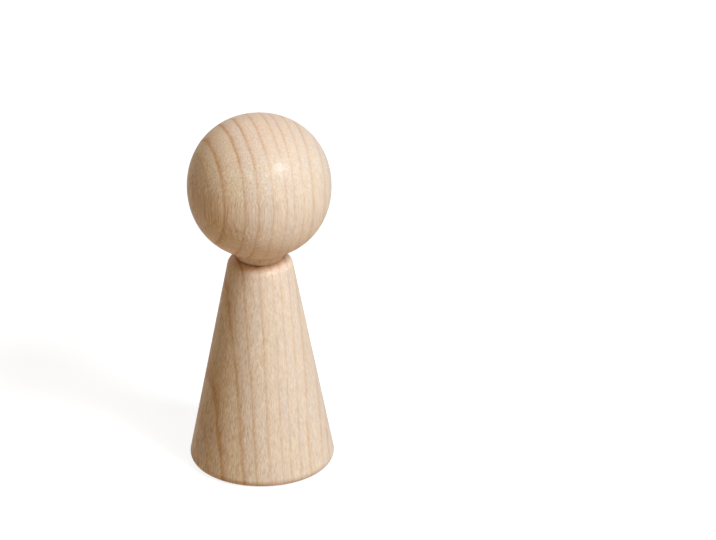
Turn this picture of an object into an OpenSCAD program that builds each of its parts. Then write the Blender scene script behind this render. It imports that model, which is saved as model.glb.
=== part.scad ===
// Peg doll: a turned ball head on a short neck, doweled to a turned cone body.
// Lengths are in millimetres. The doll stands on z = 0, and its axis is the z axis.

/* [Blank] */
// Diameter of the turned blank, which the ball's belt and the cone's base edge both reach
blank_d = 25; // [20:0.5:32]

/* [Body] */
// Height of the cone body, from its base to its flat top
body_h = 38.75; // [32:0.25:55]
// Diameter of the cone at its top, before the shoulder is rounded
body_top_d = 10.92; // [10.4:0.02:14]
// Rounding radius of the base edge
base_edge_r = 1.35; // [0.4:0.05:3]
// Rounding radius of the shoulder
shoulder_r = 1.5; // [0.4:0.05:2.5]

/* [Head] */
// Share of its radius by which the ball is fuller than a sphere, halfway from belt to pole
head_fullness_share = 0.0185; // [0.01:0.0005:0.03]
// Diameter of the neck
neck_d = 9.3; // [8.6:0.1:11]
// Height of the neck, from the shoulder to the level of the ball's lowest point
neck_h = 1.25; // [0.8:0.05:3]

/* [Dowel] */
// Diameter of the hidden dowel that joins the head and the body
dowel_d = 6; // [5:0.5:6.5]
// Length of the dowel
dowel_l = 20; // [14:1:26]
// Chamfer at each end of the dowel
dowel_chamfer = 0.8; // [0.3:0.1:1.2]
// Number of glue flutes along the dowel
flute_count = 12; // [8:2:16]
// Radius of the cutter that rolls each flute
flute_r = 0.5; // [0.4:0.05:0.6]
// Depth of each flute below the dowel's surface
flute_depth = 0.3; // [0.15:0.05:0.4]

/* [Fits] */
// Glue film between the dowel and its bores, on the radius
glue_film = 0.05; // [0.03:0.01:0.12]
// Free space for glue past each end of the dowel
glue_room = 1; // [0.5:0.1:2]
// Chamfer at the mouth of each bore, which holds the squeezed-out glue
mouth_chamfer = 0.4; // [0.2:0.05:0.6]
// Least width of the flat ring on which the neck is seated
seat_w = 0.5; // [0.3:0.05:0.8]

/* [Hidden] */
$fn = 120;
// Past this, a cut runs out of what it cuts
overrun = 0.5;
// Point angle of the drill that makes the blind bores
drill_point_angle = 118;
// Number of steps in the ball's outline from pole to pole, and in a rounded edge
ball_steps = 72;
arc_steps = 14;

// Cone body: its side runs from the top corner to a tangent on the rounded base edge
base_centre = [blank_d / 2 - base_edge_r, base_edge_r];
side_span = [base_centre.x - body_top_d / 2, body_h - base_centre.y];
taper = atan2(side_span.x, side_span.y) + asin(base_edge_r / norm(side_span));
bore_r = dowel_d / 2 + glue_film;
mouth_r = bore_r + mouth_chamfer;
// The shoulder's rounding is limited by the ring that the neck needs
shoulder_limit = (body_top_d / 2 - mouth_r - seat_w) * tan(45 + taper / 2);
shoulder_arc_r = min(shoulder_r, shoulder_limit);

// Ball head
head_r = blank_d / 2;
head_z = body_h + neck_h + head_r;

// Dowel and its bores
bore_depth = dowel_l / 2 + glue_room;
drill_point_h = bore_r / tan(drill_point_angle / 2);

// Radius of the cone's side at a height
function side_r(z) = body_top_d / 2 + (body_h - z) * tan(taper);

// Points of an arc about a centre, from one angle to another
function arc(centre, radius, from, to) = [
    for (i = [0 : arc_steps])
        let (angle = from + (to - from) * i / arc_steps)
            centre + radius * [cos(angle), sin(angle)]
];

// Half outline of the cone, with the base edge and the shoulder rounded
module cone_outline() {
    shoulder_z = body_h - shoulder_arc_r;
    shoulder_centre = [side_r(shoulder_z) - shoulder_arc_r / cos(taper), shoulder_z];
    polygon([
        [0, 0],
        each arc(base_centre, base_edge_r, -90, taper),
        each arc(shoulder_centre, shoulder_arc_r, taper, 90),
        [0, body_h]
    ]);
}

// Half outline of the ball about its middle, a little fuller than a circle between belt and poles
module ball_outline() {
    polygon([
        for (i = [0 : ball_steps])
            let (
                angle = 180 * i / ball_steps - 90,
                fullness = 1 + head_fullness_share * pow(sin(2 * angle), 2)
            )
                head_r * fullness * [cos(angle), sin(angle)]
    ]);
}

// Blind bore with a drill point and a chamfered mouth, drilled up from z = 0
module dowel_bore() {
    rotate_extrude()
        polygon([
            [0, -overrun],
            [mouth_r + overrun, -overrun],
            [bore_r, mouth_chamfer],
            [bore_r, bore_depth],
            [0, bore_depth + drill_point_h]
        ]);
}

// Half outline of the dowel, with both ends chamfered
module dowel_outline() {
    dowel_r = dowel_d / 2;
    polygon([
        [0, 0],
        [dowel_r - dowel_chamfer, 0],
        [dowel_r, dowel_chamfer],
        [dowel_r, dowel_l - dowel_chamfer],
        [dowel_r - dowel_chamfer, dowel_l],
        [0, dowel_l]
    ]);
}

module ball_head() {
    color("burlywood")
        difference() {
            union() {
                translate([0, 0, head_z])
                    rotate_extrude()
                        ball_outline();
                translate([0, 0, body_h])
                    cylinder(d = neck_d, h = neck_h + neck_d / 2);
            }
            translate([0, 0, body_h])
                dowel_bore();
        }
}

module cone_body() {
    color("wheat")
        difference() {
            rotate_extrude()
                cone_outline();
            translate([0, 0, body_h])
                mirror([0, 0, 1])
                    dowel_bore();
        }
}

module neck_dowel() {
    flute_at = dowel_d / 2 + flute_r - flute_depth;
    color("tan")
        translate([0, 0, body_h - dowel_l / 2])
            difference() {
                rotate_extrude()
                    dowel_outline();
                for (turn = [0 : flute_count - 1])
                    rotate(turn * 360 / flute_count)
                        translate([flute_at, 0, -overrun])
                            cylinder(r = flute_r, h = dowel_l + 2 * overrun);
            }
}

ball_head();
cone_body();
neck_dowel();
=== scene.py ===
"""Looks of the peg doll: a turned ball head on a short neck, doweled to a turned cone body.

Lengths are in millimetres, apart from those of the floor and the lamps, which are in metres.
The z axis is the doll's axis. Wood is a solid texture: the growth rings run through each piece's blank,
so the turned shapes cut them as a lathe does. In the wood, places are in head radii.
"""

import math
from typing import NamedTuple

import bpy
from mathutils import Matrix, Vector


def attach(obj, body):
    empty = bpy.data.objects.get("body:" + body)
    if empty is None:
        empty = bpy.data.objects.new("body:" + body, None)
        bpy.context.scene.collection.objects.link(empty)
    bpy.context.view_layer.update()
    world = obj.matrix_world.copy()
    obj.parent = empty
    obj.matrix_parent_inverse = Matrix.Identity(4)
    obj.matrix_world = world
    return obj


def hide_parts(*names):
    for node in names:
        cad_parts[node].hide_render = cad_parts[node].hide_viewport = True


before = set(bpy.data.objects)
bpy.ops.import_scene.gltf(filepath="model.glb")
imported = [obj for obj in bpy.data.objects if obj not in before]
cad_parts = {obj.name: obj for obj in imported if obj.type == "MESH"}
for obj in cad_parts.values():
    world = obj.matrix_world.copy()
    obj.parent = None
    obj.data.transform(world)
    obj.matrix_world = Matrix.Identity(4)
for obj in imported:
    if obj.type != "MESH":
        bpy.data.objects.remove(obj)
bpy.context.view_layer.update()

MM = 0.001
WHITE = (1, 1, 1)

# Turned shapes, as in part.scad
BLANK_D = 25.0
HEAD_FULLNESS_SHARE = 0.0185
NECK_D = 9.3
NECK_H = 1.25
BODY_H = 38.75
BODY_TOP_D = 10.92
BASE_EDGE_R = 1.35
SHOULDER_R = 1.5
DOWEL_D = 6.0
DOWEL_L = 20.0
GLUE_FILM = 0.05
GLUE_ROOM = 1.0
MOUTH_CHAMFER = 0.4
DRILL_POINT_ANGLE = 118

# Worked out from them
HEAD_R = BLANK_D / 2
HEAD_Z = BODY_H + NECK_H + HEAD_R
NECK_R = NECK_D / 2
BODY_TOP_R = BODY_TOP_D / 2
BORE_R = DOWEL_D / 2 + GLUE_FILM
BORE_DEPTH = DOWEL_L / 2 + GLUE_ROOM
DRILL_POINT_H = BORE_R / math.tan(math.radians(DRILL_POINT_ANGLE / 2))

# The neck's turned edges, which only the visible piece has: it rounds into the ball and draws in to its foot
NECK_FILLET = 0.35
# How far the fillet's corner lies below the ball, as a share of the fillet
FILLET_CORNER_SHARE = 0.45
NECK_DRAW_IN = 1.05
DRAW_IN_HEIGHT = 1.7
# Corner of the draw-in's bend: how far inside the neck's side, and how far above its foot
DRAW_IN_CORNER = (0.22, 0.7)

# Fineness of the meshes: faces round the axis, steps along each kind of curve, and longest straight steps
TURNS = 256
BALL_STEPS = 144
EDGE_STEPS = 20
BEND_STEPS = 8
SIDE_STEP = 0.3
BASE_STEP = 0.6
BORE_STEP = 1.0
# A radius up to this is a point on the axis, and an edge that turns more than this angle stays sharp
ON_AXIS = 1e-6
SHARP_ANGLE = math.radians(34)

# The blank's growth rings: (place of the dark edge across the blank, darkness of that edge)
RINGS = (
    (-1.06, 0.35),
    (-0.92, 0.35),
    (-0.76, 0.90),
    (-0.49, 0.88),
    (-0.31, 0.60),
    (-0.11, 0.42),
    (0.08, 0.36),
    (0.20, 0.34),
    (0.34, 0.32),
    (0.48, 0.40),
    (0.70, 0.48),
    (0.81, 0.36),
    (0.97, 0.48),
    (1.12, 0.42),
)
# The rings are laid out this far to both sides of the axis
RING_REACH = 1.3
# Darkness across one ring, from its abrupt dark edge over the pale wood to the next edge
RING_SHADES = (
    (0, 0.95),
    (0.04, 1),
    (0.08, 0.9),
    (0.15, 0.45),
    (0.26, 0.21),
    (0.42, 0.08),
    (0.7, 0),
    (0.89, 0.05),
    (0.96, 0.35),
    (1, 0.95),
)


class Blank(NamedTuple):
    """How one piece of wood lies in its growth rings, and how strong its figure is.

    middle_z is the height from which tilt and sweep count. swing and tilt turn the rings about the doll's
    axis and out of it, in degrees. bow curves them about the tree's heart, sweep bends them along the stem,
    and shift moves them across. contrast scales the rings and veined the veins. The last two fields are
    painted
    shade: a tint over a stretch counted across the rings, which makes the side turned away from the key lamp
    warmer, and on the body also darker.
    """

    middle_z: float
    swing: float
    tilt: float
    bow: float
    sweep: float
    shift: float
    contrast: float
    veined: float
    # Painted shade: the stretch across the rings and the tint that warms the side turned away from the key
    # lamp
    painted_shade_reach: tuple
    painted_shade_tint: tuple


HEAD_BLANK = Blank(
    middle_z=HEAD_Z / HEAD_R,
    swing=17.1,
    tilt=-1.7,
    bow=0.057,
    sweep=0.076,
    shift=0.065,
    contrast=0.90,
    veined=0.1,
    # Painted shade: the head's side turned away from the key lamp is tinted warmer
    painted_shade_reach=(-0.2, -0.85),
    painted_shade_tint=(1.03, 0.98, 0.885),
)
BODY_BLANK = Blank(
    middle_z=1.5,
    swing=15.5,
    tilt=1.0,
    bow=0.067,
    sweep=0.0,
    shift=0.0,
    contrast=1.1,
    veined=0.4,
    # Painted shade: the body's side turned away from the key lamp is tinted warmer and darker
    painted_shade_reach=(-0.15, -0.5),
    painted_shade_tint=(0.94, 0.91, 0.832),
)

# Noises in the wood: cells per head radius along x, y and z, octaves of detail, and weight of the finer ones
NOISES = {
    "slow_wave": ((1.3, 1.3, 0.9), 1.0, 0.5),
    "quick_wave": ((7, 7, 1.3), 1.0, 0.5),
    "breaks": ((5, 5, 1.2), 2.0, 0.5),
    "veins": ((16, 16, 0.7), 1.0, 0.5),
    "threads": ((38, 38, 0.9), 1.0, 0.5),
    "broad_hue": ((3.2, 3.2, 0.9), 1.0, 0.5),
    "fine_hue": ((10, 10, 0.5), 0.0, 0.5),
    "fibres": ((24, 24, 0.8), 2.0, 0.6),
    "dashes": ((56, 56, 2.4), 1.0, 0.6),
    "specks": ((80, 80, 14), 0.0, 0.6),
    "beech_streaks": ((22, 22, 2), 3.0, 0.6),
    "beech_flecks": ((70, 70, 12), 1.0, 0.5),
}
# The middle of a noise, which takes in most of it
NOISE_SPAN = (0.3, 0.7)

# Figure of the pale wood. A span is the part of a noise that counts, a reach is a stretch across the rings
# over which something sets in, and flatness is 0 on an upright face and 1 on one that lies across the grain
SLOW_WAVE_DEPTH = 0.07
QUICK_WAVE_DEPTH = 0.018
# Where rings fade and where they strengthen, as shares of their darkness
RING_BREAK_SHARES = (0.5, 1.3)
END_GRAIN_FLATNESS = (0.5, 1.0)
# What end grain adds to those shares
END_GRAIN_RINGS = 0.8
VEIN_SPAN = (0.52, 0.70)
VEIN_REACH = (-0.35, -0.8)
THREAD_SPAN = (0.58, 0.70)
THREAD_REACH = (0.0, -0.5)
THREAD_FLATNESS = (0.2, 0.6)
THREAD_DARKNESS = 0.6

# Colours of the pale wood: between its rings, at their dark edges, and the tints that work on both
PALE_WOOD = (0.930, 0.775, 0.620)
LATE_WOOD = (0.740, 0.485, 0.285)
AMBER_WOOD = (1.016, 0.996, 0.948)
ROSE_WOOD = (0.987, 0.986, 1.008)
END_GRAIN = (0.98, 0.905, 0.875)
# What ring, broad patch and narrow patch each add to the hue, and the stretch of it from rose to amber
RING_HUE_SHARE = 0.22
BROAD_HUE_SHARE = 0.36
FINE_HUE_SHARE = 0.42
HUE_SPAN = (0.4, 0.6)

# Streaks of lighter and darker wood: depths, and how much deeper dashes and specks go on the dark side
FIBRE_DEPTH = 0.22
DASH_DEPTH = 0.34
SPECK_DEPTH = 0.21
FLECK_REACH = (-0.65, 0.1)
FLECK_SHARES = (2.1, 1.15)
# How much of a streak's lightness each of red, green and blue takes: dark streaks are warmer
STREAK_TINT = (0.72, 1.0, 1.34)

# Sanded surface: roughness, relief of the rings and the dashes beside that of the fibres, and bump
WOOD_ROUGHNESS = (0.40, 0.50)
RING_RELIEF = -0.5
DASH_RELIEF = 0.5
WOOD_BUMP = {"Strength": 0.5, "Distance": 0.02 * MM}
# Thin satin seal, the same all over
SEAL = {
    "Specular IOR Level": 0.02,
    "Coat Weight": 0.08,
    "Coat IOR": 2.0,
    "Coat Roughness": 0.27,
}

# Beech of the hidden dowel
BEECH_DARK = (0.60, 0.37, 0.20)
BEECH_PALE = (0.72, 0.47, 0.28)
BEECH_FLECK = (0.36, 0.19, 0.09)
BEECH_FLECK_SPAN = (0.6, 0.72)
BEECH_FLECK_DARKNESS = 0.55
BEECH_ROUGHNESS = (0.62, 0.74)
BEECH_BUMP = {"Strength": 0.3, "Distance": 0.05 * MM}

# Camera: the photograph's angle and frame, with angles in degrees. The frame's middle is counted to the right
# and up from a point on the axis
FRAME_WIDTH = 124.34
LENS = 600.0
SENSOR = 36.0
ELEVATION = 26.61
ROLL = -0.431
TARGET_ABOVE = 20.0
FRAME_OFFSET = (16.82, 14.52)
# Nearest and furthest things in view, in metres
CLIPPING = (0.01, 20)

# Surroundings: the room's own light, and the floor's size, bounced light, glow and shadowed part.
# The floor glows fully white beyond the reach, which is counted from the doll
AMBIENT = (0.008, 0.006, 0.004)
BOUNCE = (0.62, 0.455, 0.31)
FLOOR_SIZE = 6.0
FLOOR_GLOW = 0.87
WHITENING_REACH = (0.15, 0.6)
FLOOR_SHADE = (0.30, 0.31, 0.32)

# The studio's soft lamps: azimuth from the camera's side to the right and elevation, both in degrees,
# side length, level and colour
LAMPS = {
    "key_softbox": (50, 45, 0.22, 0.770, (0.89, 1.0, 1.13)),
    "warm_softbox": (29, 42, 0.22, 0.127, (1.30, 1.0, 0.63)),
    "left_softbox": (-75, 50, 0.50, 0.075, (1.30, 1.0, 0.63)),
    "back_softbox": (-160, 42, 0.60, 0.210, (1.08, 1.0, 0.90)),
}
LAMP_DISTANCE = 0.9
LAMP_AIM = (0, 0, 0.035)


def line(start, end, step=SIDE_STEP):
    """Points from start to end, both included, no further apart than step."""
    count = max(1, math.ceil(math.dist(start, end) / step))
    return [
        (start[0] + (end[0] - start[0]) * i / count, start[1] + (end[1] - start[1]) * i / count)
        for i in range(count + 1)
    ]


def arc(centre, radius, start, end):
    """Points of a rounded edge about a centre, from one angle to another."""
    return [
        (centre[0] + radius * math.cos(angle), centre[1] + radius * math.sin(angle))
        for angle in (start + (end - start) * i / EDGE_STEPS for i in range(EDGE_STEPS + 1))
    ]


def bend(start, corner, end):
    """Points of a soft bend from start to end, which touches both lines that meet in the corner."""
    points = []
    for i in range(BEND_STEPS + 1):
        t = i / BEND_STEPS
        a, b, c = (1 - t) ** 2, 2 * t * (1 - t), t * t
        points.append(tuple(a * start[k] + b * corner[k] + c * end[k] for k in (0, 1)))
    return points


def bore_outline(direction):
    """Outline of a blind dowel bore, up or down from its chamfered mouth at the seam to its drill point."""
    deep = BODY_H + direction * BORE_DEPTH
    return [
        (BORE_R + MOUTH_CHAMFER, BODY_H),
        *line((BORE_R, BODY_H + direction * MOUTH_CHAMFER), (BORE_R, deep), BORE_STEP),
        *line((BORE_R, deep), (0, deep + direction * DRILL_POINT_H), BORE_STEP)[1:],
    ]


def ball_point(angle):
    """Point of the ball's outline at an angle above its belt. It is a little fuller than a circle."""
    radius = HEAD_R * (1 + HEAD_FULLNESS_SHARE * math.sin(2 * angle) ** 2)
    return (radius * math.cos(angle), HEAD_Z + radius * math.sin(angle))


def head_outline():
    """Half outline of the head from its top over the ball and the neck into the bore."""
    angles = (math.pi / 2 - math.pi * i / BALL_STEPS for i in range(BALL_STEPS))
    ball = [p for p in map(ball_point, angles) if p[1] > HEAD_Z or p[0] > NECK_R + NECK_FILLET]
    ball[0] = (0, ball[0][1])
    fillet_corner = (NECK_R, ball[-1][1] - NECK_FILLET * FILLET_CORNER_SHARE)
    neck_top = (NECK_R, fillet_corner[1] - NECK_FILLET)
    draw_in_top = (NECK_R, BODY_H + DRAW_IN_HEIGHT)
    draw_in_corner = (NECK_R - DRAW_IN_CORNER[0], BODY_H + DRAW_IN_CORNER[1])
    foot = (NECK_R - NECK_DRAW_IN, BODY_H)
    return [
        *ball,
        *bend(ball[-1], fillet_corner, neck_top)[1:],
        *bend(draw_in_top, draw_in_corner, foot),
        *bore_outline(1),
    ]


def body_outline():
    """Half outline of the body from its base over the side and the shoulder into the bore."""
    base_centre = (HEAD_R - BASE_EDGE_R, BASE_EDGE_R)
    side_span = (base_centre[0] - BODY_TOP_R, BODY_H - base_centre[1])
    taper = math.atan2(*side_span) + math.asin(BASE_EDGE_R / math.hypot(*side_span))
    side_r = BODY_TOP_R + SHOULDER_R * math.tan(taper)
    shoulder_centre = (side_r - SHOULDER_R / math.cos(taper), BODY_H - SHOULDER_R)
    edge = arc(base_centre, BASE_EDGE_R, -math.pi / 2, taper)
    shoulder = arc(shoulder_centre, SHOULDER_R, taper, math.pi / 2)
    return [
        *line((0, 0), edge[0], BASE_STEP)[:-1],
        *edge,
        *line(edge[-1], shoulder[0])[1:-1],
        *shoulder,
        *bore_outline(-1),
    ]


def turned(name, outline, node):
    """Turns a half outline about the z axis into a closed mesh, which stands for a CAD node."""
    points, faces = [], []
    rows = []
    for radius, height in outline:
        count = TURNS if radius > ON_AXIS else 1
        rows.append([len(points) + k for k in range(count)])
        for k in range(count):
            angle = math.tau * k / TURNS
            points.append((radius * math.cos(angle) * MM, radius * math.sin(angle) * MM, height * MM))
    for low, high in zip(rows, rows[1:]):
        for k in range(TURNS):
            below = [low[k % len(low)], low[(k + 1) % len(low)]]
            above = [high[(k + 1) % len(high)], high[k % len(high)]]
            faces.append(list(dict.fromkeys(below + above)))
    mesh = bpy.data.meshes.new(name)
    mesh.from_pydata(points, [], faces)
    mesh.validate()
    mesh.shade_smooth()
    mesh.set_sharp_from_angle(angle=SHARP_ANGLE)
    piece = bpy.data.objects.new(name, mesh)
    bpy.context.scene.collection.objects.link(piece)
    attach(piece, "root")
    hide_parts(node)
    return piece


def add_node(tree, kind, inputs, output=0, **settings):
    """Adds a node, sets it, feeds its inputs with links or plain values, and returns one of its outputs."""
    node = tree.nodes.new("ShaderNode" + kind)
    for name, value in settings.items():
        setattr(node, name, value)
    for key, value in inputs.items():
        if isinstance(value, bpy.types.NodeSocket):
            tree.links.new(value, node.inputs[key])
        else:
            node.inputs[key].default_value = value
    return node.outputs[output] if node.outputs else None


def calc(tree, operation, *values):
    """A number from one step of arithmetic."""
    return add_node(tree, "Math", dict(enumerate(values)), operation=operation)


def vector_calc(tree, operation, *values, output=0):
    """A vector, or with output 1 a number, from one step of vector arithmetic."""
    return add_node(tree, "VectorMath", dict(enumerate(values)), output, operation=operation)


def span(tree, value, low, high, to_low=0.0, to_high=1.0):
    """A number taken from one range to another, and held within it."""
    inputs = {"Value": value, "From Min": low, "From Max": high, "To Min": to_low, "To Max": to_high}
    return add_node(tree, "MapRange", inputs, clamp=True)


def blend(tree, factor, first, second, mode="MIX"):
    """A colour between two, or one colour worked on another. Inputs 6 and 7 of the node are its colours."""
    inputs = {0: factor, 6: first, 7: second}
    return add_node(tree, "Mix", inputs, 2, data_type="RGBA", blend_type=mode, clamp_factor=True)


def tinted(tree, colour, tint):
    """A colour times a tint."""
    return blend(tree, 1.0, colour, tint, "MULTIPLY")


def curve(tree, value, points):
    """A number read from straight pieces through (place, height) points, which lie within 0 and 1."""
    node = tree.nodes.new("ShaderNodeFloatCurve")
    tree.links.new(value, node.inputs["Value"])
    made = node.mapping.curves[0].points
    made[0].location, made[-1].location = points[0], points[-1]
    for place, height in points[1:-1]:
        made.new(place, height)
    for point in made:
        point.handle_type = "VECTOR"
    node.mapping.update()
    return node.outputs[0]


def noise(tree, place, kind):
    """One of the wood's noises, from 0 to 1."""
    stretch, detail, roughness = NOISES[kind]
    scaled = vector_calc(tree, "MULTIPLY", place, stretch)
    inputs = {"Vector": scaled, "Scale": 1.0, "Detail": detail, "Roughness": roughness}
    return add_node(tree, "TexNoise", inputs)


def rgba(colour):
    """A colour as a socket takes it."""
    return (*colour, 1)


def wood_start(name):
    """What a wood starts from: material, node tree, shader, place in head radii, and normal."""
    material = bpy.data.materials.new(name)
    material.use_nodes = True
    tree = material.node_tree
    coordinates = tree.nodes.new("ShaderNodeTexCoord").outputs
    place = vector_calc(tree, "SCALE", coordinates["Object"])
    place.node.inputs["Scale"].default_value = 1 / (HEAD_R * MM)
    return material, tree, tree.nodes["Principled BSDF"], place, coordinates["Normal"]


def ring_distance(tree, place, blank):
    """Distance across the growth rings, which bow, sweep and waver a little."""
    turn, lean = math.radians(blank.swing), math.radians(blank.tilt)
    through = (math.cos(turn) * math.cos(lean), math.sin(turn) * math.cos(lean), math.sin(lean))
    along = (-math.sin(turn), math.cos(turn), 0)
    centred = vector_calc(tree, "SUBTRACT", place, (0, 0, blank.middle_z))
    across = vector_calc(tree, "DOT_PRODUCT", centred, through, output=1)
    beside = vector_calc(tree, "DOT_PRODUCT", centred, along, output=1)
    height = add_node(tree, "SeparateXYZ", {0: centred}, 2)
    bowed = calc(tree, "MULTIPLY_ADD", calc(tree, "MULTIPLY", beside, beside), blank.bow, across)
    swept = calc(tree, "MULTIPLY_ADD", calc(tree, "MULTIPLY", height, height), blank.sweep, bowed)
    slow = calc(tree, "SUBTRACT", noise(tree, place, "slow_wave"), 0.5)
    quick = calc(tree, "SUBTRACT", noise(tree, place, "quick_wave"), 0.5)
    waved = calc(tree, "MULTIPLY_ADD", slow, SLOW_WAVE_DEPTH, swept)
    waved = calc(tree, "MULTIPLY_ADD", quick, QUICK_WAVE_DEPTH, waved)
    return calc(tree, "SUBTRACT", waved, blank.shift)


def ring_figure(tree, distance):
    """(darkness of the growth rings, a number for each ring) at a distance across the blank."""
    share = span(tree, distance, -RING_REACH, RING_REACH)
    places = [(place + RING_REACH) / (2 * RING_REACH) for place, _ in RINGS]
    last = len(RINGS) + 1
    count = curve(tree, share, [(0, 0), *((x, (i + 1) / last) for i, x in enumerate(places)), (1, 1)])
    count = calc(tree, "MULTIPLY", count, last)
    strengths = [(x, dark) for x, (_, dark) in zip(places, RINGS)]
    strength = curve(tree, share, [(0, RINGS[0][1]), *strengths, (1, RINGS[-1][1])])
    shade = curve(tree, calc(tree, "FRACT", count), RING_SHADES)
    return calc(tree, "MULTIPLY", shade, strength), calc(tree, "FLOOR", count)


def grain_darkness(tree, place, distance, rings, flatness, blank):
    """Darkness of rings that come and go and are stronger on end grain, and of veins and threads."""
    shares = (share * blank.contrast for share in RING_BREAK_SHARES)
    broken = span(tree, noise(tree, place, "breaks"), *NOISE_SPAN, *shares)
    end = span(tree, flatness, *END_GRAIN_FLATNESS)
    darkness = calc(tree, "MULTIPLY", rings, calc(tree, "MULTIPLY_ADD", end, END_GRAIN_RINGS, broken))
    veins = span(tree, noise(tree, place, "veins"), *VEIN_SPAN, 0.0, blank.veined)
    darkness = calc(tree, "MULTIPLY_ADD", veins, span(tree, distance, *VEIN_REACH), darkness)
    threads = span(tree, noise(tree, place, "threads"), *THREAD_SPAN, 0.0, THREAD_DARKNESS)
    threads = calc(tree, "MULTIPLY", threads, span(tree, flatness, *THREAD_FLATNESS, 1.0, 0.0))
    return calc(tree, "MULTIPLY_ADD", threads, span(tree, distance, *THREAD_REACH), darkness)


def patch_tint(tree, place, ring):
    """A tint between rose and amber, which changes from ring to ring and in broad and narrow patches."""
    ring_hue = add_node(tree, "TexWhiteNoise", {"W": ring}, noise_dimensions="1D")
    hue = calc(tree, "MULTIPLY", noise(tree, place, "broad_hue"), BROAD_HUE_SHARE)
    hue = calc(tree, "MULTIPLY_ADD", ring_hue, RING_HUE_SHARE, hue)
    hue = calc(tree, "MULTIPLY_ADD", noise(tree, place, "fine_hue"), FINE_HUE_SHARE, hue)
    return blend(tree, span(tree, hue, *HUE_SPAN), rgba(ROSE_WOOD), rgba(AMBER_WOOD))


def streak_tint(tree, place, distance, fibres, dashes):
    """Lightness of fibres, dashes and specks as a tint."""
    flecks = calc(tree, "MULTIPLY_ADD", dashes, DASH_DEPTH, -0.5 * (DASH_DEPTH + SPECK_DEPTH))
    flecks = calc(tree, "MULTIPLY_ADD", noise(tree, place, "specks"), SPECK_DEPTH, flecks)
    deepened = span(tree, distance, *FLECK_REACH, *FLECK_SHARES)
    streak = calc(tree, "MULTIPLY_ADD", fibres, FIBRE_DEPTH, -0.5 * FIBRE_DEPTH)
    streak = calc(tree, "MULTIPLY_ADD", flecks, deepened, streak)
    channels = {i: calc(tree, "MULTIPLY_ADD", streak, share, 1.0) for i, share in enumerate(STREAK_TINT)}
    return add_node(tree, "CombineColor", channels)


def pale_wood(name, blank):
    """Pale plain-sawn wood, sanded and thinly sealed, with the figure of one blank."""
    material, tree, shader, place, normal = wood_start(name)
    distance = ring_distance(tree, place, blank)
    rings, ring = ring_figure(tree, distance)
    flatness = calc(tree, "ABSOLUTE", add_node(tree, "SeparateXYZ", {0: normal}, 2))
    end = span(tree, flatness, *END_GRAIN_FLATNESS)
    fibres, dashes = noise(tree, place, "fibres"), noise(tree, place, "dashes")

    darkness = grain_darkness(tree, place, distance, rings, flatness, blank)
    colour = blend(tree, darkness, rgba(PALE_WOOD), rgba(LATE_WOOD))
    # Painted shade: the side turned away from the key lamp is tinted warmer, and on the body also darker
    painted_shade = span(tree, distance, *blank.painted_shade_reach)
    colour = tinted(tree, colour, patch_tint(tree, place, ring))
    colour = tinted(tree, colour, blend(tree, painted_shade, rgba(WHITE), rgba(blank.painted_shade_tint)))
    colour = tinted(tree, colour, blend(tree, end, rgba(WHITE), rgba(END_GRAIN)))
    colour = tinted(tree, colour, streak_tint(tree, place, distance, fibres, dashes))
    tree.links.new(colour, shader.inputs["Base Color"])

    tree.links.new(span(tree, fibres, *NOISE_SPAN, *WOOD_ROUGHNESS), shader.inputs["Roughness"])
    relief = calc(tree, "ADD", fibres, calc(tree, "MULTIPLY", dashes, DASH_RELIEF))
    relief = calc(tree, "MULTIPLY_ADD", darkness, RING_RELIEF, relief)
    tree.links.new(add_node(tree, "Bump", {"Height": relief, **WOOD_BUMP}), shader.inputs["Normal"])
    for socket, value in SEAL.items():
        shader.inputs[socket].default_value = value
    return material


def dowel_wood(name):
    """Plain beech of a stock dowel: warm, matte, with short dark flecks along it."""
    material, tree, shader, place, _ = wood_start(name)
    streaks = noise(tree, place, "beech_streaks")
    flecks = span(tree, noise(tree, place, "beech_flecks"), *BEECH_FLECK_SPAN, 0.0, BEECH_FLECK_DARKNESS)
    colour = blend(tree, span(tree, streaks, *NOISE_SPAN), rgba(BEECH_DARK), rgba(BEECH_PALE))
    colour = blend(tree, flecks, colour, rgba(BEECH_FLECK))
    tree.links.new(colour, shader.inputs["Base Color"])
    tree.links.new(span(tree, streaks, *NOISE_SPAN, *BEECH_ROUGHNESS), shader.inputs["Roughness"])
    tree.links.new(add_node(tree, "Bump", {"Height": streaks, **BEECH_BUMP}), shader.inputs["Normal"])
    return material


def make_camera():
    """A long lens on the left-hand doll's place in the photograph's frame."""
    lift, turn = math.radians(ELEVATION), math.radians(ROLL)
    right, up = Vector((1, 0, 0)), Vector((0, math.sin(lift), math.cos(lift)))
    back = Vector((0, -math.cos(lift), math.sin(lift)))
    right, up = math.cos(turn) * right + math.sin(turn) * up, math.cos(turn) * up - math.sin(turn) * right
    target = Vector((0, 0, TARGET_ABOVE)) + FRAME_OFFSET[0] * right + FRAME_OFFSET[1] * up
    data = bpy.data.cameras.new("camera")
    data.lens, data.sensor_width = LENS, SENSOR
    data.clip_start, data.clip_end = CLIPPING
    camera = bpy.data.objects.new("camera", data)
    place = (target + back * FRAME_WIDTH * LENS / SENSOR) * MM
    camera.matrix_world = Matrix.Translation(place) @ Matrix((right, up, back)).transposed().to_4x4()
    bpy.context.scene.collection.objects.link(camera)
    bpy.context.scene.camera = camera


def seen_directly(tree):
    """1 for rays that show the surroundings as such: from the camera, mirrored or through glass."""
    path = tree.nodes.new("ShaderNodeLightPath").outputs
    shown = calc(tree, "MAXIMUM", path["Is Camera Ray"], path["Is Glossy Ray"])
    return calc(tree, "MAXIMUM", shown, path["Is Transmission Ray"])


def make_world():
    """A dim warm room that is seen as white."""
    world = bpy.data.worlds.new("room")
    bpy.context.scene.world = world
    world.use_nodes = True
    tree = world.node_tree
    tree.nodes.clear()
    light = add_node(tree, "Background", {"Color": rgba(AMBIENT), "Strength": 1.0})
    shown = add_node(tree, "Background", {"Color": rgba(WHITE), "Strength": 1.0})
    both = add_node(tree, "MixShader", {0: seen_directly(tree), 1: light, 2: shown})
    add_node(tree, "OutputWorld", {"Surface": both})


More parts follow.
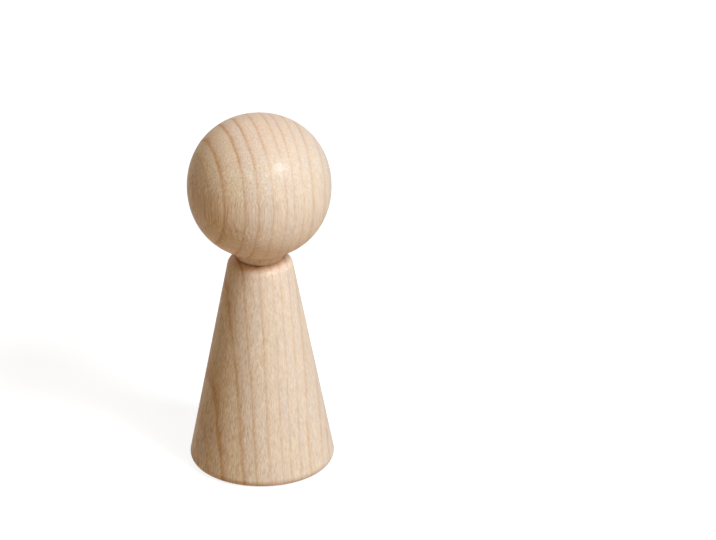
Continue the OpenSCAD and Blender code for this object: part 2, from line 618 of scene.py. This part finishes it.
def make_floor():
    """A floor that is seen as white with a faint shadow, whiter further off, and gives back warm light."""
    half = FLOOR_SIZE / 2
    corners = [(-half, -half, 0), (half, -half, 0), (half, half, 0), (-half, half, 0)]
    mesh = bpy.data.meshes.new("floor")
    mesh.from_pydata(corners, [], [(0, 1, 2, 3)])
    floor = bpy.data.objects.new("floor", mesh)
    bpy.context.scene.collection.objects.link(floor)
    material = bpy.data.materials.new("floor_white")
    material.use_nodes = True
    tree = material.node_tree
    tree.nodes.clear()
    coordinates = tree.nodes.new("ShaderNodeTexCoord").outputs
    away = vector_calc(tree, "LENGTH", coordinates["Object"], output=1)
    strength = span(tree, away, *WHITENING_REACH, FLOOR_GLOW, 1.0)
    glow = add_node(tree, "Emission", {"Color": rgba(WHITE), "Strength": strength})
    matt = add_node(tree, "BsdfDiffuse", {"Color": rgba(FLOOR_SHADE)})
    white = add_node(tree, "AddShader", {0: glow, 1: matt})
    bounce = add_node(tree, "BsdfDiffuse", {"Color": rgba(BOUNCE)})
    both = add_node(tree, "MixShader", {0: seen_directly(tree), 1: bounce, 2: white})
    add_node(tree, "OutputMaterial", {"Surface": both})
    mesh.materials.append(material)


def softbox(name, azimuth, elevation, size, level, colour):
    """A square lamp that points at the doll. level is how bright it lights a white face turned to it."""
    turn, lift = math.radians(azimuth), math.radians(elevation)
    away = Vector((math.sin(turn) * math.cos(lift), -math.cos(turn) * math.cos(lift), math.sin(lift)))
    data = bpy.data.lights.new(name, "AREA")
    data.shape, data.size = "SQUARE", size
    data.energy = level * math.pi**2 * LAMP_DISTANCE**2
    data.color = colour
    lamp = bpy.data.objects.new(name, data)
    lamp.location = Vector(LAMP_AIM) + away * LAMP_DISTANCE
    lamp.rotation_mode = "QUATERNION"
    lamp.rotation_quaternion = away.to_track_quat("Z", "Y")
    bpy.context.scene.collection.objects.link(lamp)


make_camera()
make_world()
make_floor()
for lamp, setting in LAMPS.items():
    softbox(lamp, *setting)

head = turned("turned_head", head_outline(), "ball_head")
head.data.materials.append(pale_wood("head_grain", HEAD_BLANK))
body = turned("turned_body", body_outline(), "cone_body")
body.data.materials.append(pale_wood("body_grain", BODY_BLANK))
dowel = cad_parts["neck_dowel"]
dowel.data.materials.clear()
dowel.data.materials.append(dowel_wood("dowel_beech"))

bpy.context.scene.view_settings.view_transform = "Standard"

bpy.context.view_layer.update()
